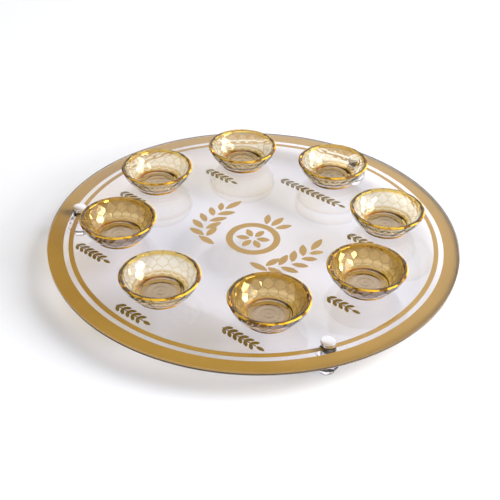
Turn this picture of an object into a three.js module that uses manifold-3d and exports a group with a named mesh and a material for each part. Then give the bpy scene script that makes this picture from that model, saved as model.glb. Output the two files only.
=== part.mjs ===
// A round glass serving plate on three crystal feet, with eight loose faceted glass bowls.
// Millimetres, +Z up. The origin is the plate's centre on the table that the feet stand on.

import * as THREE from 'three';
import Module from 'manifold-3d';
import { mergeVertices } from 'three/addons/utils/BufferGeometryUtils.js';

const wasm = await Module();
wasm.setup();

// Tray: a clear disc, printed in gold on its underside
const trayDiameter = 360;
const trayThickness = 4;
const trayEdgeBevel = 0.6;
const bandWidth = 13.8;
const lineGap = 4.4;
const lineWidth = 4.1;
const printThickness = 0.2;

// Bowls: spherical cups of pressed glass on a disc foot, faceted outside and smooth inside
const bowlCount = 8;
const bowlToCapGap = 2.55;
const bowlRimRadius = 33;
const bowlHeight = 20.2;
const bowlWall = 3;
const bowlFloor = 3.8;
const bowlFootRadius = 20.5;
const bowlFootHeight = 3.1;
const bowlRecessRadius = 12.5;
const bowlRecessDepth = 0.8;
const bowlRimBevel = 1.1;
const facetsPerRow = 18;
const facetRowPitch = 6.6;
const facetFirstRow = 0.6;

// Feet: a cap and a stud clamp a crystal under the glass, with soft rings between
const footCount = 3;
const capRadius = 6;
const capHeight = 3.4;
const capBevel = 0.4;
const capTopThickness = 1.2;
const gasketInset = 0.3;
const gasketHeight = 1.5;
const studRadius = 3;
const studDepthInCrystal = 9;
const washerInset = 0.4;
const washerHeight = 0.8;
const crystalHeight = 18.6;
const crystalRadius = 9.6;
const crystalSides = 10;
const crystalTopRadius = 6.6;
const crystalBottomRadius = 7.2;
const crystalBeltBottom = 4.2;
const crystalBeltTop = 12.5;
const padInset = 0.4;
const padHeight = 1;

// Gaps between pieces that fit into each other
const boreClearance = 0.3;
const glassHoleClearance = 0.6;
const printClearance = 0.3;

// Fineness of the round stretches
const traySegments = 96;
const bowlSegments = 28;
const smallSegments = 20;
const bowlWallSteps = 4;

// Heights above the table
const crystalBottomZ = padHeight;
const washerZ = crystalBottomZ + crystalHeight;
const printZ = washerZ + washerHeight;
const trayBottomZ = printZ + printThickness;
const trayTopZ = trayBottomZ + trayThickness;
const capZ = trayTopZ + gasketHeight;

// Radii of the print
const trayRadius = trayDiameter / 2;
const bandInnerRadius = trayRadius - bandWidth;
const lineOuterRadius = bandInnerRadius - lineGap;
const lineInnerRadius = lineOuterRadius - lineWidth;
const footRingRadius = (lineOuterRadius + lineInnerRadius) / 2;
const bowlRingRadius = footRingRadius - capRadius - bowlToCapGap - bowlRimRadius;

// Bores and holes that the stud passes through
const boreRadius = studRadius + boreClearance;
const glassHoleRadius = studRadius + glassHoleClearance;
const capBoreDepth = capHeight - capTopThickness;

// Places: the first bowl and the first foot are at 12 o'clock, and the rest follow clockwise
const placesRound = (count) =>
  Array.from({ length: count }, (_, i) => Math.PI / 2 - (i * 2 * Math.PI) / count);
const bowlAngles = placesRound(bowlCount);
const footAngles = placesRound(footCount);

const finish = (color, roughness, metalness, opacity = 1) =>
  new THREE.MeshStandardMaterial({ color, roughness, metalness, opacity, transparent: opacity < 1 });

const clearGlass = () => finish(0xeef0f4, 0.03, 0, 0.25);
const goldPrint = () => finish(0xb28e4e, 0.4, 0.3);
const amberGlass = () => finish(0xd9a93c, 0.04, 0, 0.5);
const polishedSteel = () => finish(0xc9c9cc, 0.12, 1);
const crystal = () => finish(0xf4f2f8, 0.02, 0, 0.35);
const darkRubber = () => finish(0x2b2a33, 0.6, 0);
const clearSilicone = () => finish(0xe8e8ea, 0.5, 0, 0.6);

// A closed geometry as a solid that can be joined and cut
function toSolid(geometry) {
  const bare = geometry.clone();
  bare.deleteAttribute('normal');
  bare.deleteAttribute('uv');
  const merged = mergeVertices(bare, 1e-4);
  const corners = merged.index.array;
  const triVerts = [];
  for (let i = 0; i < corners.length; i += 3) {
    const [a, b, c] = [corners[i], corners[i + 1], corners[i + 2]];
    const flatTriangle = a === b || b === c || c === a;
    if (!flatTriangle) triVerts.push(a, b, c);
  }
  const vertProperties = merged.attributes.position.array;
  return new wasm.Manifold(
    new wasm.Mesh({ numProp: 3, vertProperties, triVerts: Uint32Array.from(triVerts) }));
}

function toGeometry(solid) {
  const { vertProperties, triVerts } = solid.getMesh();
  const geometry = new THREE.BufferGeometry();
  geometry.setAttribute('position', new THREE.BufferAttribute(vertProperties, 3));
  geometry.setIndex(new THREE.BufferAttribute(triVerts, 1));
  geometry.computeVertexNormals();
  return geometry;
}

// A solid turned about Z from a list of [radius, height] points, anticlockwise round the section
function turned(points, segments) {
  const profile = points.map(([radius, height]) => new THREE.Vector2(radius, height));
  const geometry = new THREE.LatheGeometry(profile, segments);
  geometry.rotateX(Math.PI / 2);
  return toSolid(geometry);
}

// A ring or disc between two radii and two heights
function ring(innerRadius, outerRadius, bottom, top, segments) {
  const outside = [[outerRadius, bottom], [outerRadius, top]];
  if (innerRadius === 0) {
    return turned([[0, bottom], ...outside, [0, top]], segments);
  }
  const start = [innerRadius, bottom];
  return turned([start, ...outside, [innerRadius, top], start], segments);
}

// A disc with both its edges bevelled
function bevelledDisc(radius, bottom, top, bevel, segments) {
  return turned([
    [0, bottom], [radius - bevel, bottom], [radius, bottom + bevel],
    [radius, top - bevel], [radius - bevel, top], [0, top],
  ], segments);
}

// Cuts a row of flat facets round a solid. Each facet's plane passes through a point at the given
// radius and height, and its outward normal is tilted up from level by the given angle.
function cutFacets(solid, { count, turn, radius, height, tilt }) {
  const reach = 4 * radius;
  for (let i = 0; i < count; i++) {
    const beyond = new THREE.BoxGeometry(reach, reach, reach);
    beyond.translate(reach / 2, 0, 0);
    beyond.rotateY(-tilt);
    beyond.translate(radius, 0, height);
    beyond.rotateZ(turn + (i * 2 * Math.PI) / count);
    solid = solid.subtract(toSolid(beyond));
  }
  return solid;
}

const atAngle = (radius, angle, height = 0) =>
  new THREE.Vector3(radius * Math.cos(angle), radius * Math.sin(angle), height);

function trayGlass() {
  let disc = bevelledDisc(trayRadius, trayBottomZ, trayTopZ, trayEdgeBevel, traySegments);
  for (const angle of footAngles) {
    const place = atAngle(footRingRadius, angle);
    const hole = ring(0, glassHoleRadius, trayBottomZ - 1, trayTopZ + 1, smallSegments);
    disc = disc.subtract(hole.translate([place.x, place.y, 0]));
  }
  return disc;
}

function goldBand() {
  return ring(bandInnerRadius, trayRadius - trayEdgeBevel, printZ, trayBottomZ, traySegments);
}

// The stretch of the thin line that runs clockwise from one stud hole to the next
function goldLine(footAngle) {
  const holeHalfAngle = (glassHoleRadius + printClearance) / footRingRadius;
  const start = footAngle - (2 * Math.PI) / footCount + holeHalfAngle;
  const end = footAngle - holeHalfAngle;
  const outline = new THREE.Shape();
  outline.absarc(0, 0, lineOuterRadius, start, end, false);
  outline.absarc(0, 0, lineInnerRadius, end, start, true);
  const curveSegments = Math.round(traySegments / footCount / 2);
  const geometry = new THREE.ExtrudeGeometry(
    outline, { depth: printThickness, bevelEnabled: false, curveSegments });
  geometry.translate(0, 0, printZ);
  return toSolid(geometry);
}

// The cup is a slice of a sphere that passes through the rim and the top edge of the foot
const bowlSphereZ =
  (bowlRimRadius ** 2 + bowlHeight ** 2 - bowlFootRadius ** 2 - bowlFootHeight ** 2) /
  (2 * (bowlHeight - bowlFootHeight));
const bowlSphereRadius = Math.hypot(bowlRimRadius, bowlSphereZ - bowlHeight);

// [radius, height] points up a sphere of the given radius about the cup's centre, between two heights
function spherePoints(radius, bottom, top) {
  const low = Math.acos((bowlSphereZ - bottom) / radius);
  const high = Math.acos((bowlSphereZ - top) / radius);
  return Array.from({ length: bowlWallSteps + 1 }, (_, i) => {
    const angle = low + ((high - low) * i) / bowlWallSteps;
    return [radius * Math.sin(angle), bowlSphereZ - radius * Math.cos(angle)];
  });
}

// One bowl, standing on z = 0
function bowl() {
  // The blank is larger than the facets' sphere by a wall, so that facets meet along sharp edges
  const blankRadius = bowlSphereRadius + bowlWall;
  const blankBottom = bowlFootHeight / 2;
  const blankOutside = spherePoints(blankRadius, blankBottom, bowlHeight);
  const blank = turned([[0, blankBottom], ...blankOutside, [0, bowlHeight]], bowlSegments);

  // Facet rows climb the sphere from the foot to the rim, each staggered by half a facet
  const facetAngle = facetRowPitch / bowlSphereRadius;
  const footAngle = Math.asin(bowlFootRadius / bowlSphereRadius);
  const rimAngle = Math.asin(bowlRimRadius / bowlSphereRadius);
  const rows = Math.ceil((rimAngle - footAngle) / facetAngle - facetFirstRow) + 1;
  let cup = blank;
  for (let row = -1; row < rows; row++) {
    const angle = footAngle + (facetFirstRow + row) * facetAngle;
    cup = cutFacets(cup, {
      count: facetsPerRow,
      turn: row % 2 === 0 ? 0 : Math.PI / facetsPerRow,
      radius: bowlSphereRadius * Math.sin(angle),
      height: bowlSphereZ - bowlSphereRadius * Math.cos(angle),
      tilt: angle - Math.PI / 2,
    });
  }

  // The disc foot reaches up into the cup
  const foot = ring(0, bowlFootRadius, 0, (bowlFootHeight + bowlFloor) / 2, bowlSegments);

  // The hollow rises above the rim, where it flares by the rim's bevel
  const innerRadius = bowlSphereRadius - bowlWall;
  const inside = spherePoints(innerRadius, bowlFloor, bowlHeight - bowlRimBevel);
  const lip = inside[inside.length - 1];
  const flare = [lip[0] + bowlRimBevel, bowlHeight + bowlRimBevel];
  const hollow = turned([[0, bowlFloor], ...inside, flare, [0, flare[1]]], bowlSegments);
  const recess = ring(0, bowlRecessRadius, -1, bowlRecessDepth, bowlSegments);
  return cup.add(foot).subtract(hollow).subtract(recess);
}

function footCap() {
  const cap = bevelledDisc(capRadius, 0, capHeight, capBevel, smallSegments);
  return cap.subtract(ring(0, boreRadius, -1, capBoreDepth, smallSegments));
}

function capGasket() {
  return ring(boreRadius, capRadius - gasketInset, 0, gasketHeight, smallSegments);
}

function footWasher() {
  return ring(boreRadius, crystalTopRadius - washerInset, 0, washerHeight, smallSegments);
}

// The stud stands on the floor of the crystal's bore and ends just short of the cap's
function footStud() {
  const bottom = washerZ - studDepthInCrystal;
  const top = capZ + capBoreDepth - boreClearance;
  return ring(0, studRadius, 0, top - bottom, smallSegments);
}

// A cut crystal: a straight belt of facets between two tapering rows that are staggered to it
function crystalFoot() {
  const belt = { count: crystalSides, turn: 0, radius: crystalRadius, tilt: 0 };
  const taper = { ...belt, turn: Math.PI / crystalSides };
  let cut = ring(0, 2 * crystalRadius, 0, crystalHeight, smallSegments);
  cut = cutFacets(cut, { ...belt, height: crystalHeight / 2 });
  cut = cutFacets(cut, {
    ...taper, height: crystalBeltTop,
    tilt: Math.atan2(crystalRadius - crystalTopRadius, crystalHeight - crystalBeltTop),
  });
  cut = cutFacets(cut, {
    ...taper, height: crystalBeltBottom,
    tilt: -Math.atan2(crystalRadius - crystalBottomRadius, crystalBeltBottom),
  });
  const boreBottom = crystalHeight - studDepthInCrystal;
  return cut.subtract(ring(0, boreRadius, boreBottom, crystalHeight + 1, smallSegments));
}

function footPad() {
  return ring(0, crystalBottomRadius - padInset, 0, padHeight, smallSegments);
}

const plate = new THREE.Group();

function addPiece(parent, name, geometry, material, position = new THREE.Vector3()) {
  const mesh = new THREE.Mesh(geometry, material);
  mesh.name = name;
  mesh.position.copy(position);
  parent.add(mesh);
}

addPiece(plate, 'tray_glass', toGeometry(trayGlass()), clearGlass());
addPiece(plate, 'gold_band', toGeometry(goldBand()), goldPrint());

const bowlGeometry = toGeometry(bowl());
bowlAngles.forEach((angle, i) => {
  const place = atAngle(bowlRingRadius, angle, trayTopZ);
  addPiece(plate, `bowl_${i + 1}`, bowlGeometry, amberGlass(), place);
});

// Each foot's pieces from the top down, with the height of each above the table
const footPieces = [
  ['foot_cap', toGeometry(footCap()), polishedSteel, capZ],
  ['cap_gasket', toGeometry(capGasket()), darkRubber, trayTopZ],
  ['foot_stud', toGeometry(footStud()), polishedSteel, washerZ - studDepthInCrystal],
  ['foot_washer', toGeometry(footWasher()), clearSilicone, washerZ],
  ['crystal_foot', toGeometry(crystalFoot()), crystal, crystalBottomZ],
  ['foot_pad', toGeometry(footPad()), clearSilicone, 0],
];
footAngles.forEach((angle, i) => {
  addPiece(plate, `gold_line_${i + 1}`, toGeometry(goldLine(angle)), goldPrint());
  const foot = new THREE.Group();
  foot.position.copy(atAngle(footRingRadius, angle));
  for (const [name, geometry, material, height] of footPieces) {
    addPiece(foot, `${name}_${i + 1}`, geometry, material(), new THREE.Vector3(0, 0, height));
  }
  plate.add(foot);
});

export default plate;
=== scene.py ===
# A round serving plate of clear glass, printed in gold underneath, on three crystal standoff feet,
# with eight loose bowls of amber pressed glass. Metres, +Z up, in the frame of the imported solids.

import math
import random

import bpy
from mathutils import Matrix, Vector


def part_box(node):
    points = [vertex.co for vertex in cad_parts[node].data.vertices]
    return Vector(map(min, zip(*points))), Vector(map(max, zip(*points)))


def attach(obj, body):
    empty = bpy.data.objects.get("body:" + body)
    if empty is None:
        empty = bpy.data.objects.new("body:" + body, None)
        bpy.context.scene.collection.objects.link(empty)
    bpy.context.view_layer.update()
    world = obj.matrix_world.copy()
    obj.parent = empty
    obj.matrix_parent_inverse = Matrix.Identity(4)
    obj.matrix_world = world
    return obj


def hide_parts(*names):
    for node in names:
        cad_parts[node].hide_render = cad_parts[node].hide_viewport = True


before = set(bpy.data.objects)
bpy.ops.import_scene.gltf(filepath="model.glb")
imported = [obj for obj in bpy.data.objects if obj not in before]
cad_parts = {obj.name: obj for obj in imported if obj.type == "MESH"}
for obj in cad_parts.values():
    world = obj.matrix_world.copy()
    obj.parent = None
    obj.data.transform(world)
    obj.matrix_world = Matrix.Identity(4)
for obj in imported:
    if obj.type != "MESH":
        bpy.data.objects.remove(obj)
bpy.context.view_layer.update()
MM = 0.001

# Camera: a short telephoto from in front and above, so that the plate lies turned by 39 degrees,
# with the foot at 4 o'clock towards the viewer. It is rolled a little, as in the photograph.

CAMERA_PLACE = (0.4197, -0.5274, 0.4915)
CAMERA_TURN = (54.103, -1.193, 39.629)
CAMERA_LENS = 66.65
CAMERA_SENSOR = 36
GLASS_BOUNCES = 32

bpy.ops.object.select_all(action="DESELECT")
bpy.ops.object.camera_add(
    location=CAMERA_PLACE,
    rotation=[math.radians(angle) for angle in CAMERA_TURN],
)
camera = bpy.context.object
camera.name = "camera"
camera.data.lens = CAMERA_LENS
camera.data.sensor_width = CAMERA_SENSOR
scene = bpy.context.scene
scene.camera = camera
scene.view_settings.view_transform = "Standard"
scene.cycles.max_bounces = GLASS_BOUNCES
scene.cycles.transmission_bounces = GLASS_BOUNCES
scene.cycles.transparent_max_bounces = GLASS_BOUNCES
scene.cycles.caustics_refractive = False
scene.cycles.caustics_reflective = False

# Studio: a white floor just under the pads, big soft lights at the right, and a white room. The
# floor keeps the shadow. Mirrors and glass see the room as warm and dark, apart from a white
# backdrop, a white ceiling on the camera's side and the bright face of a softbox.

FLOOR_SIZE = 12
FLOOR_GAP = 0.05 * MM
FLOOR_COLOUR = (0.78, 0.785, 0.82, 1)
FLOOR_GLOW = 0.15
SOFTBOXES = {
    "key_softbox": {"azimuth": 40, "elevation": 38, "distance": 4, "size": (2.4, 2.4), "power": 150},
    "low_softbox": {"azimuth": 20, "elevation": 14, "distance": 3, "size": (2.6, 1.2), "power": 160},
}
# A white part of the room lies in a direction, fades in between two cosines of the angle to it, and
# goes from one share of white to another between two heights.
BACKDROP = {
    "towards": (-0.087, 0.996, 0),
    "fades_in": (0.42, 0.62),
    "heights": (0.62, 0.95),
    "white": (1, 0.4),
}
CEILING = {
    "towards": (0.5, -0.866, 0),
    "fades_in": (-0.3, 0.1),
    "heights": (0.15, 0.35),
    "white": (0, 1),
}
TO_SOFTBOX = (0.765, 0.442, 0.469)
SOFTBOX_FADES_IN = (0.91, 0.95)
SOFTBOX_SEEN = 2
STUDIO_WHITE = 1.5
STUDIO_DARK = 0.3
STUDIO_DARK_TINT = (1, 0.68, 0.3, 1)
STUDIO_LIGHT = 0.4
WHITE = (1, 1, 1, 1)


def new_material(name):
    """A material with an empty node tree and its output node."""
    material = bpy.data.materials.new(name)
    material.use_nodes = True
    nodes = material.node_tree.nodes
    nodes.clear()
    return material, nodes, material.node_tree.links, nodes.new("ShaderNodeOutputMaterial")


def feed(links, value, socket):
    """Links a node's output to a socket, or sets the socket to a plain value."""
    if isinstance(value, bpy.types.NodeSocket):
        links.new(value, socket)
    else:
        socket.default_value = value


def math_node(nodes, links, operation, *values):
    """A Math node fed by sockets or numbers, given as its output."""
    node = nodes.new("ShaderNodeMath")
    node.operation = operation
    for socket, value in zip(node.inputs, values):
        feed(links, value, socket)
    return node.outputs["Value"]


def mixed(nodes, links, share, first, second, blend="MIX"):
    """Two colours mixed by a share, given as a Mix node's output."""
    node = nodes.new("ShaderNodeMix")
    node.data_type = "RGBA"
    node.blend_type = blend
    links.new(share, node.inputs["Factor"])
    feed(links, first, node.inputs["A"])
    feed(links, second, node.inputs["B"])
    return node.outputs["Result"]


def ranged(nodes, links, value, from_range, to_range, steps="LINEAR"):
    """A value taken from one range to another, given as a Map Range node's output."""
    node = nodes.new("ShaderNodeMapRange")
    node.interpolation_type = steps
    node.inputs["From Min"].default_value, node.inputs["From Max"].default_value = from_range
    node.inputs["To Min"].default_value, node.inputs["To Max"].default_value = to_range
    links.new(value, node.inputs["Value"])
    return node.outputs["Result"]


def seen_rays(nodes, links):
    """1 for rays from the camera, in mirrors and through glass, and 0 for rays that light things."""
    path = nodes.new("ShaderNodeLightPath")
    straight_or_mirrored = math_node(
        nodes, links, "MAXIMUM", path.outputs["Is Camera Ray"], path.outputs["Is Glossy Ray"])
    return math_node(
        nodes, links, "MAXIMUM", straight_or_mirrored, path.outputs["Is Transmission Ray"])


def facing(nodes, links, direction, towards):
    """How much a direction faces a fixed one, from -1 to 1."""
    node = nodes.new("ShaderNodeVectorMath")
    node.operation = "DOT_PRODUCT"
    links.new(direction, node.inputs[0])
    node.inputs[1].default_value = towards
    return node.outputs["Value"]


bpy.ops.object.select_all(action="DESELECT")
bpy.ops.mesh.primitive_plane_add(size=FLOOR_SIZE, location=(0, 0, -FLOOR_GAP))
floor = bpy.context.object
floor.name = "studio_floor"
material, nodes, links, output = new_material("studio_white")
paper = nodes.new("ShaderNodeBsdfDiffuse")
paper.inputs["Color"].default_value = FLOOR_COLOUR
glow = nodes.new("ShaderNodeEmission")
glow_strength = math_node(nodes, links, "MULTIPLY", seen_rays(nodes, links), FLOOR_GLOW)
links.new(glow_strength, glow.inputs["Strength"])
together = nodes.new("ShaderNodeAddShader")
links.new(paper.outputs["BSDF"], together.inputs[0])
links.new(glow.outputs["Emission"], together.inputs[1])
links.new(together.outputs["Shader"], output.inputs["Surface"])
floor.data.materials.append(material)

for name, lamp in SOFTBOXES.items():
    bpy.ops.object.light_add(type="AREA")
    light = bpy.context.object
    light.name = name
    light.data.shape = "RECTANGLE"
    light.data.size, light.data.size_y = lamp["size"]
    light.data.energy = lamp["power"]
    azimuth = math.radians(lamp["azimuth"])
    elevation = math.radians(lamp["elevation"])
    towards = Vector((
        math.cos(azimuth) * math.cos(elevation),
        math.sin(azimuth) * math.cos(elevation),
        math.sin(elevation),
    ))
    light.location = towards * lamp["distance"]
    light.rotation_euler = towards.to_track_quat("Z", "Y").to_euler()
    light.visible_glossy = False

world = bpy.data.worlds.new("studio_room")
scene.world = world
world.use_nodes = True
nodes, links = world.node_tree.nodes, world.node_tree.links
nodes.clear()
room = nodes.new("ShaderNodeBackground")
camera_rays = nodes.new("ShaderNodeLightPath").outputs["Is Camera Ray"]
direction = nodes.new("ShaderNodeTexCoord").outputs["Generated"]
split = nodes.new("ShaderNodeSeparateXYZ")
links.new(direction, split.inputs["Vector"])
white_parts = []
for wall in (BACKDROP, CEILING):
    faced = facing(nodes, links, direction, wall["towards"])
    white_parts.append(math_node(
        nodes, links, "MULTIPLY",
        ranged(nodes, links, faced, wall["fades_in"], (0, 1), "SMOOTHSTEP"),
        ranged(nodes, links, split.outputs["Z"], wall["heights"], wall["white"], "SMOOTHSTEP"),
    ))
white_part = math_node(nodes, links, "MAXIMUM", *white_parts)
faced = facing(nodes, links, direction, TO_SOFTBOX)
softbox_part = math_node(
    nodes, links, "MULTIPLY",
    ranged(nodes, links, faced, SOFTBOX_FADES_IN, (0, 1), "SMOOTHSTEP"), SOFTBOX_SEEN)
walls = math_node(
    nodes, links, "MULTIPLY_ADD", white_part, STUDIO_WHITE - STUDIO_DARK, STUDIO_DARK)
seen_room = math_node(nodes, links, "ADD", walls, softbox_part)
bright_part = math_node(
    nodes, links, "ADD", camera_rays, math_node(nodes, links, "ADD", white_part, softbox_part))
dark_part = math_node(nodes, links, "SUBTRACT", seen_rays(nodes, links), bright_part)
dark_part.node.use_clamp = True
links.new(mixed(nodes, links, dark_part, WHITE, STUDIO_DARK_TINT), room.inputs["Color"])
extra = math_node(nodes, links, "SUBTRACT", seen_room, STUDIO_LIGHT)
brightness = math_node(
    nodes, links, "MULTIPLY_ADD", extra, seen_rays(nodes, links), STUDIO_LIGHT)
links.new(math_node(nodes, links, "MAXIMUM", brightness, camera_rays), room.inputs["Strength"])
output = nodes.new("ShaderNodeOutputWorld")
links.new(room.outputs["Background"], output.inputs["Surface"])

# Tray: one disc of clear float glass with a ground and polished edge, drilled for three studs.
# It is a little less than clear with handling, which shows as a faint haze in its gloss.

TRAY_LOW, TRAY_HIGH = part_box("tray_glass")
TRAY_RADIUS = TRAY_HIGH.x
TRAY_EDGE_ROUND = 0.6 * MM
TRAY_STEPS = 256
STUD_HOLE_RADIUS = 3.6 * MM
HOLE_STEPS = 48
FOOT_COUNT = 3
PATCH_DETAIL = 4
WIPE_SCALE = 90
WIPE_STRETCH = (1, 0.12, 1)
WIPE_TURN = 25
HAZE_FADES_IN = (0.15, 0.4)


def place_of(node):
    """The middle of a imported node, seen from above, at the height of its underside."""
    low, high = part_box(node)
    return Vector(((low.x + high.x) / 2, (low.y + high.y) / 2, low.z))


def pick(piece):
    """Makes a piece the only selected one and the active one."""
    bpy.ops.object.select_all(action="DESELECT")
    piece.select_set(True)
    bpy.context.view_layer.objects.active = piece


def settle(piece):
    """Applies a piece's place and turn, so that its object sits at the origin."""
    pick(piece)
    bpy.ops.object.transform_apply(location=True, rotation=True, scale=True)


def turned(name, profile, steps):
    """A round solid, drawn up as a disc through (radius, height) points and closed at both ends."""
    radius, height = profile[0]
    bpy.ops.object.select_all(action="DESELECT")
    bpy.ops.mesh.primitive_circle_add(
        vertices=steps, radius=radius, fill_type="NGON", location=(0, 0, height)
    )
    piece = bpy.context.object
    piece.name = name
    bpy.ops.object.mode_set(mode="EDIT")
    bpy.ops.mesh.select_all(action="SELECT")
    for next_radius, next_height in profile[1:]:
        bpy.ops.mesh.extrude_region_move(
            TRANSFORM_OT_translate={"value": (0, 0, next_height - height)}
        )
        growth = next_radius / radius
        bpy.ops.transform.resize(value=(growth, growth, 1), center_override=(0, 0, next_height))
        radius, height = next_radius, next_height
    bpy.ops.mesh.select_all(action="SELECT")
    bpy.ops.mesh.normals_make_consistent(inside=False)
    bpy.ops.object.mode_set(mode="OBJECT")
    settle(piece)
    return piece


def combine(piece, tool, operation):
    """Joins or cuts a piece with a tool, which is used up."""
    modifier = piece.modifiers.new("combine", "BOOLEAN")
    modifier.operation = operation
    modifier.solver = "EXACT"
    modifier.object = tool
    pick(piece)
    bpy.ops.object.modifier_apply(modifier=modifier.name)
    bpy.data.objects.remove(tool)


def smooth(piece, degrees=30):
    """Smooth shading, with edges sharper than an angle left crisp."""
    pick(piece)
    bpy.ops.object.shade_smooth_by_angle(angle=math.radians(degrees))


def rounded_rim(radius, bottom, top, bevel, steps=4):
    """The profile of a disc whose two edges are rounded by a bevel radius."""
    points = []
    for centre_height, start in ((bottom + bevel, -90), (top - bevel, 0)):
        for step in range(steps + 1):
            angle = math.radians(start + 90 * step / steps)
            points.append((
                radius - bevel + bevel * math.cos(angle),
                centre_height + bevel * math.sin(angle),
            ))
    return points


def dress(piece, material, body, slot_name, *nodes):
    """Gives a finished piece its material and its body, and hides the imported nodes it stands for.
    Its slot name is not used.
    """
    piece.data.materials.clear()
    piece.data.materials.append(material)
    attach(piece, body)
    if nodes:
        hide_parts(*nodes)


def object_place(nodes):
    """A point's place in its piece, given as an output."""
    return nodes.new("ShaderNodeTexCoord").outputs["Object"]


def noise(nodes, links, place, scale, detail=2):
    """Noise by a point's place, from 0 to 1, given as a Noise node's output."""
    node = nodes.new("ShaderNodeTexNoise")
    feed(links, scale, node.inputs["Scale"])
    node.inputs["Detail"].default_value = detail
    links.new(place, node.inputs["Vector"])
    return node.outputs["Fac"]


def handling_haze():
    """A node group: soft cloudy patches and fine wipe marks, as a mask from 0 to 1."""
    group = bpy.data.node_groups.new("handling_haze", "ShaderNodeTree")
    group.interface.new_socket("Patch Size", in_out="INPUT", socket_type="NodeSocketFloat")
    group.interface.new_socket("Haze", in_out="OUTPUT", socket_type="NodeSocketFloat")
    nodes, links = group.nodes, group.links
    patch_size = nodes.new("NodeGroupInput").outputs["Patch Size"]
    stretched = nodes.new("ShaderNodeMapping")
    stretched.inputs["Scale"].default_value = WIPE_STRETCH
    stretched.inputs["Rotation"].default_value = (0, 0, math.radians(WIPE_TURN))
    links.new(object_place(nodes), stretched.inputs["Vector"])
    patches = noise(nodes, links, object_place(nodes), patch_size, detail=PATCH_DETAIL)
    wipes = noise(nodes, links, stretched.outputs["Vector"], WIPE_SCALE)
    both = math_node(nodes, links, "MULTIPLY", patches, wipes)
    haze = ranged(nodes, links, both, HAZE_FADES_IN, (0, 1))
    links.new(haze, nodes.new("NodeGroupOutput").inputs["Haze"])
    return group


HAZE = handling_haze()


def haze_roughness(nodes, links, patch_size, roughness):
    """Roughness that follows the handling haze, between two values."""
    haze = nodes.new("ShaderNodeGroup")
    haze.node_tree = HAZE
    haze.inputs["Patch Size"].default_value = patch_size
    return ranged(nodes, links, haze.outputs["Haze"], (0, 1), roughness)


def glass(name, colour, shadow_colour, ior, patch_size, roughness):
    """Clear or tinted glass, which lets lamps shine through it in the shadow's colour."""
    material, nodes, links, output = new_material(name)
    body = nodes.new("ShaderNodeBsdfPrincipled")
    body.name = "glass_body"
    body.inputs["Base Color"].default_value = colour
    body.inputs["IOR"].default_value = ior
    body.inputs["Transmission Weight"].default_value = 1
    links.new(haze_roughness(nodes, links, patch_size, roughness), body.inputs["Roughness"])
    see_through = nodes.new("ShaderNodeBsdfTransparent")
    see_through.inputs["Color"].default_value = shadow_colour
    path = nodes.new("ShaderNodeLightPath")
    either = nodes.new("ShaderNodeMixShader")
    links.new(path.outputs["Is Shadow Ray"], either.inputs["Fac"])
    links.new(body.outputs["BSDF"], either.inputs[1])
    links.new(see_through.outputs["BSDF"], either.inputs[2])
    links.new(either.outputs["Shader"], output.inputs["Surface"])
    return material


foot_places = [place_of(f"foot_pad_{number}") for number in range(1, FOOT_COUNT + 1)]
tray = turned(
    "tray_glass_disc",
    rounded_rim(TRAY_RADIUS, TRAY_LOW.z, TRAY_HIGH.z, TRAY_EDGE_ROUND),
    TRAY_STEPS,
)
for place in foot_places:
    drill = turned(
        "drill",
        [(STUD_HOLE_RADIUS, TRAY_LOW.z - MM), (STUD_HOLE_RADIUS, TRAY_HIGH.z + MM)],
        HOLE_STEPS,
    )
    drill.location = (place.x, place.y, 0)
    settle(drill)
    combine(tray, drill, "DIFFERENCE")
smooth(tray)
clear_glass = glass(
    "clear_float_glass",
    colour=(0.98, 0.965, 1, 1),
    shadow_colour=(0.98, 0.97, 0.99, 1),
    ior=1.5,
    patch_size=14,
    roughness=(0, 0.03),
)
dress(tray, clear_glass, "tray", "clear_glass", "tray_glass")

# Rim line: a thin dark brown band round the lower part of the tray's edge, which shows as a line all
# round, from outside and through the glass. It is partly the print's brownish underside at the edge
# and partly painted shade, for the lower bevel in its own shadow and the band seen dark through it.

RIM_LINE_HEIGHT = 1.5 * MM
RIM_LINE_DEPTH = 0.35 * MM
RIM_LINE_INSET = 0.1 * MM
# Colours of the dark edge band, partly print and partly painted shade.
EDGE_DARK = (0.05, 0.025, 0.006, 1)
EDGE_LIGHTER = (0.12, 0.065, 0.015, 1)
EDGE_PATCHES = 120
EDGE_ROUGHNESS = 0.6


def surface(name, looks):
    """A material of one Principled shader, whose sockets are set or linked by their names."""
    material, nodes, links, output = new_material(name)
    shader = nodes.new("ShaderNodeBsdfPrincipled")
    for socket, value in looks(nodes, links).items():
        feed(links, value, shader.inputs[socket])
    links.new(shader.outputs["BSDF"], output.inputs["Surface"])
    return material


def edge_print_and_shade(nodes, links):
    """Matt dark brown with small lighter patches: partly print, partly painted shade."""
    patches = noise(nodes, links, object_place(nodes), EDGE_PATCHES, detail=3)
    return {
        "Base Color": mixed(nodes, links, patches, EDGE_DARK, EDGE_LIGHTER),
        "Roughness": EDGE_ROUGHNESS,
    }


line_bottom = TRAY_LOW.z + TRAY_EDGE_ROUND / 2
line_top = line_bottom + RIM_LINE_HEIGHT
line_radius = TRAY_RADIUS - RIM_LINE_INSET
rim_line = turned("rim_line", [
    (line_radius - RIM_LINE_INSET, line_bottom),
    (line_radius, line_bottom + RIM_LINE_INSET),
    (line_radius, line_top),
], TRAY_STEPS)
inside_radius = line_radius - RIM_LINE_DEPTH
core = turned(
    "core", [(inside_radius, line_bottom - MM), (inside_radius, line_top + MM)], TRAY_STEPS)
combine(rim_line, core, "DIFFERENCE")
smooth(rim_line)
dress(rim_line, surface("dark_edge_print_and_shade", edge_print_and_shade), "tray", "gold_print")

# Gold print: a wide band at the rim and a thin line inside it, screen-printed in satin gold ink on
# the underside of the glass. The ink's face is set a hair into the glass, as it is bonded to it.

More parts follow.
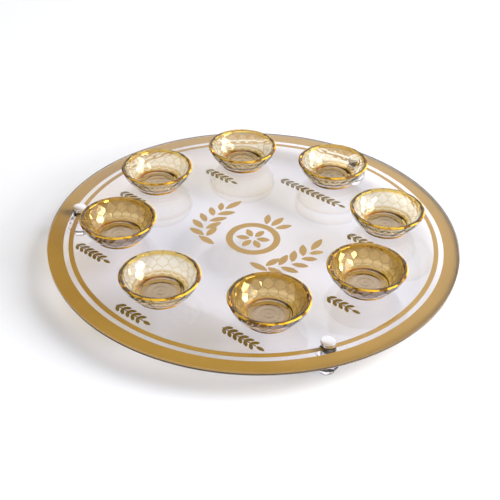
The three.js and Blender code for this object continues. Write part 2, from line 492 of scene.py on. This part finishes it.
INK_TOP = TRAY_LOW.z + 0.02 * MM
INK_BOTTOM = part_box("gold_band")[0].z
BAND_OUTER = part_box("gold_band")[1].x
BAND_INNER = 166.2 * MM
LINE_OUTER = 161.8 * MM
LINE_INNER = 157.7 * MM
LINE_RADIUS = (LINE_OUTER + LINE_INNER) / 2
LINE_END_GAP = STUD_HOLE_RADIUS + 0.3 * MM
LINE_STEPS = 96
GOLD = (0.54, 0.32, 0.055, 1)
GOLD_DARK = (0.44, 0.25, 0.04, 1)
INK_METALLIC = 0.25
INK_GRAIN = 2600
INK_GRAIN_SHARE = 0.9
INK_CLOUDS = 30
INK_ROUGHNESS = (0.35, 0.5)
MERGE_DISTANCE = 0.001 * MM


def ink_arc(name, inner, outer, start, sweep, steps):
    """A flat printed arc, spun from its cross-section. A full turn closes on itself."""
    bpy.ops.object.select_all(action="DESELECT")
    bpy.ops.mesh.primitive_plane_add(size=1)
    piece = bpy.context.object
    piece.name = name
    bpy.ops.object.mode_set(mode="EDIT")
    bpy.ops.mesh.select_all(action="SELECT")
    bpy.ops.transform.resize(value=(outer - inner, INK_TOP - INK_BOTTOM, 1))
    bpy.ops.transform.rotate(
        value=-math.pi / 2, orient_axis="X", center_override=(0, 0, 0))
    bpy.ops.transform.translate(value=((inner + outer) / 2, 0, (INK_TOP + INK_BOTTOM) / 2))
    bpy.ops.mesh.spin(steps=steps, angle=sweep, center=(0, 0, 0), axis=(0, 0, 1))
    bpy.ops.mesh.select_all(action="SELECT")
    bpy.ops.mesh.remove_doubles(threshold=MERGE_DISTANCE)
    if sweep >= 2 * math.pi:
        bpy.ops.mesh.select_all(action="DESELECT")
        bpy.ops.mesh.select_interior_faces()
        bpy.ops.mesh.delete(type="FACE")
    bpy.ops.mesh.select_all(action="SELECT")
    bpy.ops.mesh.normals_make_consistent(inside=False)
    bpy.ops.object.mode_set(mode="OBJECT")
    piece.rotation_euler.z = start
    settle(piece)
    smooth(piece)
    return piece


def gold_ink(name, colour, dark_colour):
    """Satin gold ink: fine metallic grain over a slightly cloudy coat."""
    def looks(nodes, links):
        grain = noise(nodes, links, object_place(nodes), INK_GRAIN)
        clouds = noise(nodes, links, object_place(nodes), INK_CLOUDS, detail=3)
        share = math_node(nodes, links, "MULTIPLY_ADD", grain, INK_GRAIN_SHARE, clouds)
        return {
            "Base Color": mixed(nodes, links, share, dark_colour, colour),
            "Metallic": INK_METALLIC,
            "Roughness": ranged(nodes, links, grain, (0, 1), INK_ROUGHNESS),
        }

    return surface(name, looks)


gold = gold_ink("satin_gold_ink", GOLD, GOLD_DARK)
band = ink_arc("gold_band_print", BAND_INNER, BAND_OUTER, 0, 2 * math.pi, TRAY_STEPS)
dress(band, gold, "tray", "gold_print", "gold_band")
hole_angle = LINE_END_GAP / LINE_RADIUS
sweep = 2 * math.pi / FOOT_COUNT - 2 * hole_angle
for number, place in enumerate(foot_places, 1):
    start = math.atan2(place.y, place.x) - hole_angle
    line = ink_arc(f"gold_line_print_{number}", LINE_INNER, LINE_OUTER, start, sweep, LINE_STEPS)
    dress(line, gold, "tray", "gold_print", f"gold_line_{number}")

# Bowls: eight alike, of pressed glass with an amber stain. Three of them get a darker copy of the
# glass as painted shade, for the shade and the print seen through their far walls. The cup is smooth
# inside and cut into staggered rows of flat facets outside, and stands on a disc foot.
# Here it is cut from a round blank, and its ridges are softened before the rim and foot are made.

BOWL_COUNT = 8
SHADED_BOWLS = (3, 4, 6)
RIM_RADIUS = 33 * MM
RIM_ROUND = 1.2 * MM
RIM_BAND = 3 * MM
RIM_FORM_SPACE = 2 * MM
BOWL_HEIGHT = 20.2 * MM
BOWL_WALL = 3 * MM
BOWL_FLOOR = 3.8 * MM
BOWL_STEPS = 96
BOWL_FOOT_RADIUS = 20.5 * MM
BOWL_FOOT_HEIGHT = 3.1 * MM
BOWL_FOOT_ROUND = 0.3 * MM
STANDING_RADIUS = 16.4 * MM
STANDING_LIFT = 0.3 * MM
AIR_GAP = 0.02 * MM
RECESS_RADIUS = 13 * MM
RECESS_DEPTH = 0.8 * MM
RIPPLE_HEIGHT = 0.12 * MM
RIPPLE_COUNT = 2.5
RIPPLE_STEPS = 24
SPHERE_ABOVE_RIM = 9.3 * MM
SPHERE_HEIGHT = BOWL_HEIGHT + SPHERE_ABOVE_RIM
SPHERE_RADIUS = math.hypot(RIM_RADIUS, SPHERE_ABOVE_RIM)
HOLLOW_ABOVE_RIM = 11 * MM
HOLLOW_RADIUS = 31.8 * MM
HOLLOW_STEPS = 24
BLANK_ABOVE_RIM = 6 * MM
FACETS_PER_ROW = 18
FACET_ROW_PITCH = 6.6 * MM
FACET_FIRST_ROW = 0.6
FACET_EDGE_ROUND = 0.45 * MM
FACET_EDGE_STEPS = 3
FACET_CREASE = 12
LEAST_FACET = 5 * MM * MM
LEAST_LUSTRE = 0.45
LUSTRE_SEED = 5
STAIN_WANDER = 0.08 * MM
STAIN_WANDER_SCALE = 110
RING_STAIN = (0.3, 0.13, 0.012, 1)
# Painted shade: the recess is tinted taupe, and the inner floor warmer, for the shaded floor seen
# through the base. The inner floor's tint is partly the amber as well.
RECESS_SHADE = (0.34, 0.22, 0.11, 1)
FOOT_STAIN = (0.56, 0.3, 0.025, 1)
DISC_TINT_AND_SHADE = (0.93, 0.86, 0.76, 1)
RIM_STAIN = (0.86, 0.6, 0.08, 1)
AMBER_SHADOW = (0.91, 0.89, 0.86, 1)
AMBER_BODY = (0.93, 0.78, 0.1, 1)
AMBER_DENSITY = 60
LUSTRE_ROUGHNESS = 0.01


def sphere_profile(centre, radius, bottom, top, steps):
    """(radius, height) points up a sphere on the bowl's axis, between two heights."""
    low = math.acos((centre - bottom) / radius)
    high = math.acos((centre - top) / radius)
    angles = [low + (high - low) * step / steps for step in range(steps + 1)]
    return [(radius * math.sin(a), centre - radius * math.cos(a)) for a in angles]


def rim_arc(centre_radius, start, end, steps=6):
    """Points of the rim's rounding, between two angles in degrees."""
    angles = [math.radians(start + (end - start) * step / steps) for step in range(steps + 1)]
    return [
        (centre_radius + RIM_ROUND * math.cos(a), BOWL_HEIGHT - RIM_ROUND + RIM_ROUND * math.sin(a))
        for a in angles
    ]


def facet(angle, turn):
    """Makes one flat facet: cuts off what lies beyond a plane that touches the cup's sphere."""
    outwards = Vector((
        math.sin(angle) * math.cos(turn), math.sin(angle) * math.sin(turn), -math.cos(angle)))
    touch = Vector((0, 0, SPHERE_HEIGHT)) + outwards * SPHERE_RADIUS
    bpy.ops.mesh.select_all(action="SELECT")
    bpy.ops.mesh.bisect(
        plane_co=touch, plane_no=outwards, use_fill=True, clear_outer=True,
        threshold=MERGE_DISTANCE)


def select_nothing_of(piece):
    """Deselects the faces, edges and corners of a piece."""
    for part in (piece.data.polygons, piece.data.edges, piece.data.vertices):
        part.foreach_set("select", [False] * len(part))


def round_ridges(piece):
    """Rounds the ridges between the facets, and leaves the ends of the blank alone."""
    facets_at = {}
    for face in piece.data.polygons:
        if face.area > LEAST_FACET:
            for key in face.edge_keys:
                facets_at[key] = facets_at.get(key, 0) + 1
    bottom = BOWL_FOOT_HEIGHT / 2 + 0.1 * MM
    top = BOWL_HEIGHT + BLANK_ABOVE_RIM - MM
    select_nothing_of(piece)
    for edge in piece.data.edges:
        ends = [piece.data.vertices[end].co.z for end in edge.vertices]
        between_facets = facets_at.get(edge.key) == 2
        edge.select = between_facets and min(ends) > bottom and max(ends) < top
    pick(piece)
    bpy.ops.object.mode_set(mode="EDIT")
    bpy.ops.mesh.select_mode(type="EDGE")
    bpy.ops.mesh.bevel(offset=FACET_EDGE_ROUND, segments=FACET_EDGE_STEPS, affect="EDGES")
    bpy.ops.mesh.select_mode(type="VERT")
    bpy.ops.object.mode_set(mode="OBJECT")


def paint_facets(piece):
    """Marks the outside and its ridges with 1, and each facet with how thick its lustre lies."""
    lustre = piece.data.attributes.new("lustre", "FLOAT", "FACE")
    ridge = piece.data.attributes.new("ridge", "FLOAT", "FACE")
    outer = piece.data.attributes.new("outer", "FLOAT", "FACE")
    centre = Vector((0, 0, SPHERE_HEIGHT))
    shades = random.Random(LUSTRE_SEED)
    for face in piece.data.polygons:
        outside = (face.center - centre).length > SPHERE_RADIUS - BOWL_WALL / 3
        if outside and face.center.z > BOWL_FOOT_HEIGHT:
            outer.data[face.index].value = 1
            if face.area > LEAST_FACET:
                lustre.data[face.index].value = shades.uniform(LEAST_LUSTRE, 1)
            elif face.center.z < BOWL_HEIGHT - RIM_ROUND:
                ridge.data[face.index].value = 1


def copy_of(piece):
    """A copy of a piece with its own mesh."""
    copy = piece.copy()
    copy.data = piece.data.copy()
    scene.collection.objects.link(copy)
    return copy


def attribute(nodes, name):
    """One of the marks that are painted on a piece, given as an output."""
    node = nodes.new("ShaderNodeAttribute")
    node.attribute_name = name
    return node.outputs["Fac"]


def amber(name, low_wall, high_wall, outside_stain_and_shade, ridge_shade, lustre_ior):
    """Pressed glass with an amber stain fired on, strongest at the foot and the rim, with painted
    shade along the ridges and in the foot's recess.
    """
    material = glass(
        name, colour=WHITE, shadow_colour=AMBER_SHADOW, ior=1.52, patch_size=25,
        roughness=(0, 0.01))
    nodes, links = material.node_tree.nodes, material.node_tree.links
    body = nodes["glass_body"]
    # Heights above the tray, in millimetres, between which the glass holds one stain.
    bands = (
        (0, 0.1, RING_STAIN),
        (0.18, 0.4, low_wall),
        # The recess and the inner floor: painted shade, for the shaded floor seen through the base.
        (0.5, 1.05, RECESS_SHADE),
        (1.2, 3.55, FOOT_STAIN),
        (3.65, 3.95, DISC_TINT_AND_SHADE),
        (4.05, 4.6, FOOT_STAIN),
        (6.2, 8.5, low_wall),
        (10.5, 17.2, high_wall),
        (18.5, BOWL_HEIGHT / MM, RIM_STAIN),
    )
    split = nodes.new("ShaderNodeSeparateXYZ")
    links.new(object_place(nodes), split.inputs["Vector"])
    wander = noise(nodes, links, object_place(nodes), STAIN_WANDER_SCALE)
    wandering = math_node(
        nodes, links, "MULTIPLY_ADD", wander, STAIN_WANDER, split.outputs["Z"])
    bottom = TRAY_HIGH.z + STAIN_WANDER / 2
    up_the_bowl = ranged(nodes, links, wandering, (bottom, bottom + BOWL_HEIGHT), (0, 1))
    stain = nodes.new("ShaderNodeValToRGB")
    stops = stain.color_ramp.elements
    while len(stops) < 2 * len(bands):
        stops.new(1)
    for number, (start, end, colour) in enumerate(bands):
        for stop, height in ((stops[2 * number], start), (stops[2 * number + 1], end)):
            stop.position = height * MM / BOWL_HEIGHT
            stop.color = colour
    links.new(up_the_bowl, stain.inputs["Fac"])
    outside = mixed(
        nodes, links, attribute(nodes, "outer"), stain.outputs["Color"], outside_stain_and_shade, "MULTIPLY")
    # The ridges: painted shade, for the dark lines that the facet edges show.
    ridged = mixed(nodes, links, attribute(nodes, "ridge"), outside, ridge_shade)
    links.new(ridged, body.inputs["Base Color"])
    links.new(attribute(nodes, "lustre"), body.inputs["Coat Weight"])
    body.inputs["Coat IOR"].default_value = lustre_ior
    body.inputs["Coat Roughness"].default_value = LUSTRE_ROUGHNESS
    tint = nodes.new("ShaderNodeVolumeAbsorption")
    tint.inputs["Color"].default_value = AMBER_BODY
    tint.inputs["Density"].default_value = AMBER_DENSITY
    links.new(tint.outputs["Volume"], nodes["Material Output"].inputs["Volume"])
    return material


cup = turned("bowl_cup", [
    (SPHERE_RADIUS + BOWL_WALL, BOWL_FOOT_HEIGHT / 2),
    (SPHERE_RADIUS + BOWL_WALL, BOWL_HEIGHT + BLANK_ABOVE_RIM),
], BOWL_STEPS)
row_angle = FACET_ROW_PITCH / SPHERE_RADIUS
foot_angle = math.acos((SPHERE_HEIGHT - BOWL_FOOT_HEIGHT) / SPHERE_RADIUS)
rim_angle = math.asin(RIM_RADIUS / SPHERE_RADIUS)
row_count = math.ceil((rim_angle - foot_angle) / row_angle - FACET_FIRST_ROW) + 2
bpy.ops.object.mode_set(mode="EDIT")
for row in range(-1, row_count):
    for position in range(FACETS_PER_ROW):
        half_step = 0.5 * (row % 2)
        turn = 2 * math.pi * (position + half_step) / FACETS_PER_ROW
        facet(foot_angle + (FACET_FIRST_ROW + row) * row_angle, turn)
bpy.ops.object.mode_set(mode="OBJECT")
round_ridges(cup)
rim_form = turned("rim_form", [
    (RIM_RADIUS + RIM_FORM_SPACE, 0),
    (RIM_RADIUS + RIM_FORM_SPACE, BOWL_HEIGHT - RIM_BAND - MM),
    (RIM_RADIUS, BOWL_HEIGHT - RIM_BAND),
] + rim_arc(RIM_RADIUS - RIM_ROUND, 0, 90), BOWL_STEPS)
combine(cup, rim_form, "INTERSECT")
foot_middle = (BOWL_FOOT_HEIGHT + BOWL_FLOOR) / 2
foot_disc = turned("bowl_foot", [(STANDING_RADIUS, AIR_GAP)] + rounded_rim(
    BOWL_FOOT_RADIUS, STANDING_LIFT, foot_middle, BOWL_FOOT_ROUND), BOWL_STEPS)
combine(cup, foot_disc, "UNION")
hollow_profile = sphere_profile(
    BOWL_HEIGHT + HOLLOW_ABOVE_RIM, HOLLOW_RADIUS, BOWL_FLOOR, BOWL_HEIGHT - RIM_ROUND,
    HOLLOW_STEPS)
lip = rim_arc(hollow_profile[-1][0] + RIM_ROUND, 180, 90)
hollow = turned(
    "hollow", hollow_profile + lip[1:] + [(lip[-1][0], BOWL_HEIGHT + MM)], BOWL_STEPS)
combine(cup, hollow, "DIFFERENCE")
ripples = [(RECESS_RADIUS, -MM)]
for step in range(RIPPLE_STEPS):
    share = step / RIPPLE_STEPS
    wave = RIPPLE_HEIGHT * math.cos(2 * math.pi * RIPPLE_COUNT * share)
    ripples.append((RECESS_RADIUS * (1 - share), RECESS_DEPTH - wave))
recess = turned("recess", ripples, BOWL_STEPS)
combine(cup, recess, "DIFFERENCE")
smooth(cup, FACET_CREASE)
evened = cup.modifiers.new("evened", "WEIGHTED_NORMAL")
evened.keep_sharp = True
bpy.ops.object.modifier_apply(modifier=evened.name)
paint_facets(cup)

pale_amber = amber(
    "pale_amber_glass",
    low_wall=(1, 0.99, 0.97, 1),
    high_wall=(1, 0.99, 0.97, 1),
    outside_stain_and_shade=(1, 0.96, 0.87, 1),
    ridge_shade=(0.83, 0.66, 0.36, 1),
    lustre_ior=1.5,
)
# A darker copy of the glass for three of the bowls: its walls, outside and ridges are darker as
# painted shade.
shaded_amber = amber(
    "shaded_amber_glass",
    low_wall=(0.86, 0.76, 0.56, 1),
    high_wall=(0.6, 0.46, 0.22, 1),
    outside_stain_and_shade=(0.6, 0.4, 0.12, 1),
    ridge_shade=(0.3, 0.17, 0.03, 1),
    lustre_ior=2.8,
)
for number in range(1, BOWL_COUNT + 1):
    bowl = copy_of(cup)
    bowl.name = f"amber_bowl_{number}"
    bowl.location = place_of(f"bowl_{number}")
    settle(bowl)
    amber_glass = shaded_amber if number in SHADED_BOWLS else pale_amber
    dress(bowl, amber_glass, f"bowl_{number}", "amber_glass", f"bowl_{number}")

# Bowl stain: round the rim and the side of the foot the stain lies so thick that it is an opaque
# golden film, with darker brown patches. At the rim these patches are a painted reflection, of the
# dark room seen in the glass there. It is fired on, so half of its thickness is in the glass.

FILM_THICKNESS = 0.08 * MM
FOOT_SIDE_IN = 0.5 * MM
FOOT_SIDE_OUT = 0.05 * MM
FOOT_FILM = (0.56, 0.29, 0.01, 1)
FOOT_FILM_DARK = (0.34, 0.16, 0.006, 1)
RIM_FILM = (0.72, 0.42, 0.03, 1)
# The rim's dark patches: a painted reflection of the dark room.
RIM_DARK_REFLECTION = (0.16, 0.065, 0.005, 1)
FILM_PATCHES = 90
FILM_PATCHES_FADE_IN = (0.46, 0.58)
FILM_SHINE = 0.1
FILM_PATCH_SIZE = 25
FILM_ROUGHNESS = (0.3, 0.45)


def thick_stain(nodes, links):
    """Golden stain with brown patches, redder at the foot than at the rim, where the patches are a
    painted dark reflection.
    """
    patches = noise(nodes, links, object_place(nodes), FILM_PATCHES, detail=3)
    split = nodes.new("ShaderNodeSeparateXYZ")
    links.new(object_place(nodes), split.inputs["Vector"])
    heights = (TRAY_HIGH.z + BOWL_FOOT_HEIGHT, TRAY_HIGH.z + BOWL_HEIGHT - RIM_ROUND)
    height = ranged(nodes, links, split.outputs["Z"], heights, (0, 1))
    golden = mixed(nodes, links, height, FOOT_FILM, RIM_FILM)
    brown = mixed(nodes, links, height, FOOT_FILM_DARK, RIM_DARK_REFLECTION)
    share = ranged(nodes, links, patches, FILM_PATCHES_FADE_IN, (0, 1), "SMOOTHSTEP")
    return {
        "Base Color": mixed(nodes, links, share, golden, brown),
        "Specular IOR Level": FILM_SHINE,
        "Roughness": haze_roughness(nodes, links, FILM_PATCH_SIZE, FILM_ROUGHNESS),
    }


film = copy_of(cup)
film.name = "stain_film"
for mark in ("lustre", "ridge", "outer"):
    film.data.attributes.remove(film.data.attributes[mark])
select_nothing_of(film)
for face in film.data.polygons:
    spread = math.hypot(face.center.x, face.center.y)
    at_rim = face.center.z > BOWL_HEIGHT - RIM_ROUND and spread > RIM_RADIUS - RIM_ROUND
    at_foot = (
        STANDING_LIFT < face.center.z < BOWL_FOOT_HEIGHT
        and BOWL_FOOT_RADIUS - FOOT_SIDE_IN < spread < BOWL_FOOT_RADIUS + FOOT_SIDE_OUT)
    face.select = not (at_rim or at_foot)
pick(film)
bpy.ops.object.mode_set(mode="EDIT")
bpy.ops.mesh.select_mode(type="FACE")
bpy.ops.mesh.delete(type="FACE")
bpy.ops.mesh.select_mode(type="VERT")
bpy.ops.object.mode_set(mode="OBJECT")
thickened = film.modifiers.new("thickened", "SOLIDIFY")
thickened.thickness = FILM_THICKNESS
thickened.offset = 0
bpy.ops.object.modifier_apply(modifier=thickened.name)
smooth(film)
film_stain = surface("thick_amber_stain", thick_stain)
for number in range(1, BOWL_COUNT + 1):
    bowl_film = copy_of(film)
    bowl_film.name = f"bowl_stain_{number}"
    bowl_film.location = place_of(f"bowl_{number}")
    settle(bowl_film)
    dress(bowl_film, film_stain, f"bowl_{number}", "amber_glass")
bpy.data.objects.remove(film)
bpy.data.objects.remove(cup)

# Ornament: a pomegranate between two leafy sprays, in the same gold ink as the band. Its strokes
# stand a little apart, and all of it is printed on the underside of the glass. Its sizes and places
# are in millimetres from its middle.

MOTIF_CENTRE = Vector((5 * MM, -1 * MM, 0))
INK_STEPS = 128
FRUIT_HEIGHT = -6
FRUIT_INNER = 18
FRUIT_OUTER = 24
SEED_COUNT = 6


def put(piece, angle, x, y):
    """Turns a flat piece about the origin and moves it to (x, y), in mm."""
    piece.rotation_euler.z = math.radians(angle)
    piece.location = (x * MM, y * MM, 0)
    settle(piece)
    return piece


def leaf(length, width, angle, x, y):
    """One pointed leaf of ink: the part that two equal discs share. It starts at (x, y), in mm."""
    radius = (length ** 2 + width ** 2) / (4 * width)
    halves = []
    for side in (-1, 1):
        disc = turned("leaf", [(radius * MM, INK_BOTTOM), (radius * MM, INK_TOP)], INK_STEPS)
        disc.location = (length / 2 * MM, side * (radius - width / 2) * MM, 0)
        settle(disc)
        halves.append(disc)
    combine(halves[0], halves[1], "INTERSECT")
    return put(halves[0], angle, x, y)


def joined(name, pieces):
    """One object out of several."""
    bpy.ops.object.select_all(action="DESELECT")
    for piece in pieces:
        piece.select_set(True)
    bpy.context.view_layer.objects.active = pieces[0]
    bpy.ops.object.join()
    pieces[0].name = name
    return pieces[0]


def mirrored(piece):
    """A copy of a flat piece, mirrored across the Y axis."""
    twin = copy_of(piece)
    twin.scale.x = -1
    settle(twin)
    bpy.ops.object.mode_set(mode="EDIT")
    bpy.ops.mesh.select_all(action="SELECT")
    bpy.ops.mesh.normals_make_consistent(inside=False)
    bpy.ops.object.mode_set(mode="OBJECT")
    return twin


skin = ink_arc(
    "fruit_skin", FRUIT_INNER * MM, FRUIT_OUTER * MM, math.pi / 2, 2 * math.pi, INK_STEPS)
strokes = [put(skin, 0, 0, FRUIT_HEIGHT)]
for number in range(SEED_COUNT):
    seed = leaf(12, 6, 0, 3, 0)
    strokes.append(put(seed, 360 * (number + 0.5) / SEED_COUNT, 0, FRUIT_HEIGHT))
strokes += [
    leaf(18, 6.5, 90, 0, 19.5),
    leaf(16, 6, 122, -5, 19),
    leaf(16, 6, 58, 5, 19),
]
right_leaves = [
    leaf(19, 6.5, 2, 20, -35),
    leaf(16, 6.5, 82, 33.5, -30),
    leaf(17, 6.5, 0, 36, -30.5),
    leaf(17, 6.5, 103, 41.5, -22),
    leaf(16.5, 6.5, 14, 44, -23),
    leaf(17, 6.5, 120, 47, -11),
    leaf(14.5, 6, 28, 48.5, -13.5),
    leaf(17, 6.5, 128, 49, 2),
    leaf(14, 6, 38, 50, -2),
    leaf(13, 5.5, 52, 50.5, 8.5),
    leaf(20, 6.5, 98, 49, 13.5),
]
strokes += right_leaves + [mirrored(piece) for piece in right_leaves]
motif = joined("gold_pomegranate_print", strokes)
motif.location = MOTIF_CENTRE
settle(motif)
dress(motif, gold, "tray", "gold_print")

# Sprigs: eight small sprays of leaves, one in front of each bowl, of different widths. They are
# printed under the glass like the ornament, in a darker olive-gold ink. Their sizes are in mm too.

SPRIG_FROM_BOWL = 30.9 * MM
SPRIG_WIDTHS = (75, 39, 32, 41, 37, 41, 36, 39)
STEM_WIDTH = 0.9
STEM_END = 1
TIP_LENGTH = 8
TIP_WIDTH = 3.2
TIP_GAP = 0.4
LEAF_PITCH = 6
LEAF_LENGTH = 7
LEAF_WIDTH = 3.1
LEAF_ANGLE = 36
LEAF_FROM_STEM = 0.7
LEAST_PAIRS = 3
OLIVE_GOLD = (0.21, 0.135, 0.014, 1)
OLIVE_GOLD_DARK = (0.13, 0.083, 0.009, 1)


def stem(length, x):
    """A straight stroke of ink along X, that starts at x, in mm."""
    bpy.ops.object.select_all(action="DESELECT")
    bpy.ops.mesh.primitive_cube_add(
        size=1,
        location=(length / 2 * MM, 0, (INK_TOP + INK_BOTTOM) / 2),
        scale=(length * MM, STEM_WIDTH * MM, INK_TOP - INK_BOTTOM),
    )
    piece = bpy.context.object
    settle(piece)
    return put(piece, 0, x, 0)


olive_gold = gold_ink("olive_gold_ink", OLIVE_GOLD, OLIVE_GOLD_DARK)
for number, width in enumerate(SPRIG_WIDTHS, 1):
    start = -width / 2
    stem_length = width - TIP_LENGTH
    pairs = max(LEAST_PAIRS, round(stem_length / LEAF_PITCH))
    parts = [
        stem(stem_length, start),
        leaf(TIP_LENGTH, TIP_WIDTH, 0, start + stem_length + TIP_GAP, 0),
    ]
    for pair in range(pairs):
        x = start + STEM_END + pair * (stem_length - STEM_END) / pairs
        parts.append(leaf(LEAF_LENGTH, LEAF_WIDTH, LEAF_ANGLE, x, LEAF_FROM_STEM))
        parts.append(leaf(LEAF_LENGTH, LEAF_WIDTH, -LEAF_ANGLE, x, -LEAF_FROM_STEM))
    sprig = joined(f"sprig_print_{number}", parts)
    place = place_of(f"bowl_{number}")
    sprig.location = (place.x, place.y - SPRIG_FROM_BOWL, 0)
    settle(sprig)
    dress(sprig, olive_gold, "tray", "gold_print")

# Feet: a polished steel cap screwed down on a dark gasket, a steel stud through the glass, and under
# it a soft dark washer, a cut crystal that the stud is set in, and a clear pad to stand on.

CAP_RADIUS = 6 * MM
CAP_ROUND = 0.45 * MM
CAP_BORE_SPACE = 0.3 * MM
GASKET_RADIUS = 5.7 * MM
GASKET_ROUND = 0.3 * MM
STUD_RADIUS = 3 * MM
STUD_BORE = 3.3 * MM
THREAD_PITCH = 0.8 * MM
THREAD_DEPTH = 0.25 * MM
THREAD_CREASE = 25
WASHER_RADIUS = 6.2 * MM
WASHER_ROUND = 0.25 * MM
PAD_RADIUS = 6.8 * MM
PAD_ROUND = 0.3 * MM
CRYSTAL_RADIUS = 9.6 * MM
CRYSTAL_TOP_RADIUS = 6.6 * MM
CRYSTAL_FOOT_RADIUS = 7.2 * MM
CRYSTAL_BELT_BOTTOM = 4.2 * MM
CRYSTAL_BELT_TOP = 12.5 * MM
CRYSTAL_SIDES = 10
SOCKET_SPACE = 0.1 * MM
PART_STEPS = 96
STEEL = (0.64, 0.63, 0.66, 1)
STEEL_PATCH_SIZE = 160
STEEL_ROUGHNESS = (0.06, 0.16)
SCRATCHES = 3500
SCRATCH_STRENGTH = 0.05
SCRATCH_DEPTH = 0.02 * MM
RUBBER = (0.04, 0.028, 0.014, 1)
RUBBER_DARK = (0.024, 0.0168, 0.0084, 1)
RUBBER_MOTTLE = 900
RUBBER_ROUGHNESS = 0.45


def steel(nodes, links):
    """Polished steel with fine scratches and a few soft smudges."""
    bump = nodes.new("ShaderNodeBump")
    bump.inputs["Strength"].default_value = SCRATCH_STRENGTH
    bump.inputs["Distance"].default_value = SCRATCH_DEPTH
    links.new(noise(nodes, links, object_place(nodes), SCRATCHES), bump.inputs["Height"])
    return {
        "Base Color": STEEL,
        "Metallic": 1,
        "Roughness": haze_roughness(nodes, links, STEEL_PATCH_SIZE, STEEL_ROUGHNESS),
        "Normal": bump.outputs["Normal"],
    }


def rubber(nodes, links):
    """Soft dark rubber with a fine mottled skin."""
    mottle = noise(nodes, links, object_place(nodes), RUBBER_MOTTLE)
    return {
        "Base Color": mixed(nodes, links, mottle, RUBBER_DARK, RUBBER),
        "Roughness": RUBBER_ROUGHNESS,
    }


def height_range(node):
    """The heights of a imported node's underside and top."""
    low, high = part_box(node)
    return low.z, high.z


def ring(name, radius, bottom, top, bevel, bore_top):
    """A disc with rounded edges, bored for the stud from below up to a height."""
    piece = turned(name, rounded_rim(radius, bottom, top, bevel), PART_STEPS)
    bore = turned("bore", [(STUD_BORE, bottom - MM), (STUD_BORE, bore_top)], HOLE_STEPS)
    combine(piece, bore, "DIFFERENCE")
    smooth(piece)
    return piece


def set_down(piece, place):
    """Moves a piece from the middle of the plate to the place of a foot."""
    piece.location = (place.x, place.y, 0)
    settle(piece)
    return piece


polished_steel = surface("polished_steel", steel)
gasket_rubber = surface("dark_gasket_rubber", rubber)
silicone = glass(
    "clear_silicone",
    colour=(0.95, 0.95, 0.96, 1),
    shadow_colour=(0.9, 0.9, 0.92, 1),
    ior=1.41,
    patch_size=60,
    roughness=(0.12, 0.22),
)
crystal = glass(
    "cut_crystal",
    colour=(0.97, 0.94, 1, 1),
    shadow_colour=(0.95, 0.94, 0.96, 1),
    ior=1.56,
    patch_size=40,
    roughness=(0, 0.01),
)

for number, place in enumerate(foot_places, 1):
    stud_bottom, stud_top = height_range(f"foot_stud_{number}")
    bottom, top = height_range(f"foot_cap_{number}")
    cap = ring(
        f"steel_cap_{number}", CAP_RADIUS, bottom, top, CAP_ROUND, stud_top + CAP_BORE_SPACE)
    dress(set_down(cap, place), polished_steel, "tray", "polished_steel", f"foot_cap_{number}")

    bottom, top = height_range(f"cap_gasket_{number}")
    gasket = ring(
        f"gasket_{number}", GASKET_RADIUS, bottom + AIR_GAP, top - AIR_GAP, GASKET_ROUND, top + MM)
    dress(set_down(gasket, place), gasket_rubber, "tray", "dark_rubber", f"cap_gasket_{number}")

    profile = [(STUD_RADIUS - THREAD_DEPTH, stud_bottom)]
    height = stud_bottom
    while height + THREAD_PITCH < stud_top:
        profile.append((STUD_RADIUS, height + THREAD_PITCH / 2))
        profile.append((STUD_RADIUS - THREAD_DEPTH, height + THREAD_PITCH))
        height += THREAD_PITCH
    profile.append((STUD_RADIUS - THREAD_DEPTH, stud_top))
    stud = turned(f"steel_stud_{number}", profile, HOLE_STEPS)
    smooth(stud, THREAD_CREASE)
    dress(set_down(stud, place), polished_steel, "tray", "polished_steel", f"foot_stud_{number}")

    bottom, top = height_range(f"foot_washer_{number}")
    washer = ring(
        f"washer_{number}", WASHER_RADIUS, bottom + AIR_GAP, top - AIR_GAP, WASHER_ROUND, top + MM)
    dress(set_down(washer, place), gasket_rubber, "tray", "clear_silicone", f"foot_washer_{number}")

    bottom, top = height_range(f"crystal_foot_{number}")
    stone = turned(f"crystal_{number}", [
        (CRYSTAL_FOOT_RADIUS, bottom),
        (CRYSTAL_RADIUS, bottom + CRYSTAL_BELT_BOTTOM),
        (CRYSTAL_RADIUS, bottom + CRYSTAL_BELT_TOP),
        (CRYSTAL_TOP_RADIUS, top),
    ], CRYSTAL_SIDES)
    socket = turned(
        "socket", [(STUD_BORE, stud_bottom - SOCKET_SPACE), (STUD_BORE, top + MM)], HOLE_STEPS)
    combine(stone, socket, "DIFFERENCE")
    dress(set_down(stone, place), crystal, "tray", "cut_crystal", f"crystal_foot_{number}")

    bottom, top = height_range(f"foot_pad_{number}")
    pad = turned(
        f"pad_{number}", rounded_rim(PAD_RADIUS, bottom, top - AIR_GAP, PAD_ROUND), PART_STEPS)
    smooth(pad)
    dress(set_down(pad, place), silicone, "tray", "clear_silicone", f"foot_pad_{number}")

# Last: the view layer is brought up to date.

bpy.context.view_layer.update()
